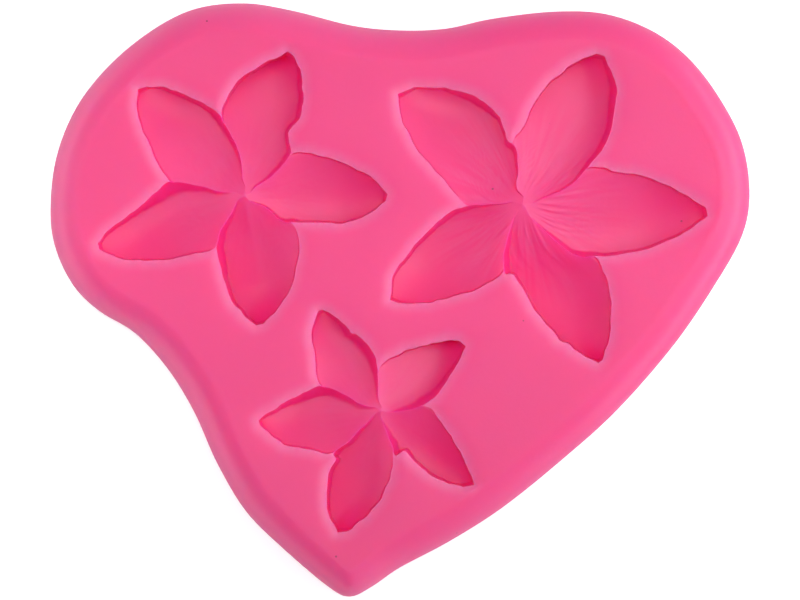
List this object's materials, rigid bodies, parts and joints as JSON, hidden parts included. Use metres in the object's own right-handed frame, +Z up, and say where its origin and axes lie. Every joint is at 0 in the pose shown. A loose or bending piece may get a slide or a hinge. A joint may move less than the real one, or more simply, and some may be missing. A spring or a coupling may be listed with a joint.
{
  "type": "silicone fondant mold",
  "caption": "One-piece flexible slab with a rounded heart outline and recessed plumeria flower cavities of stepped size in its top face, for shaping sugar paste; flat underside",
  "frame": {"origin": "Centre of the slab's bounding box in plan, on the flat underside that rests on the table", "axes": "+X along the slab's length, from the medium flower towards the large one; +Y across it, from the pointed end towards the two lobes; +Z up, out of the cavities"},
  "size_m": [0.086, 0.073, 0.012],
  "materials": {
    "silicone": "satin cast silicone rubber, pink throughout, slightly translucent at its edges"
  },
  "bodies": {
    "root": {"mold_body": "silicone"}
  },
  "joints": []
}
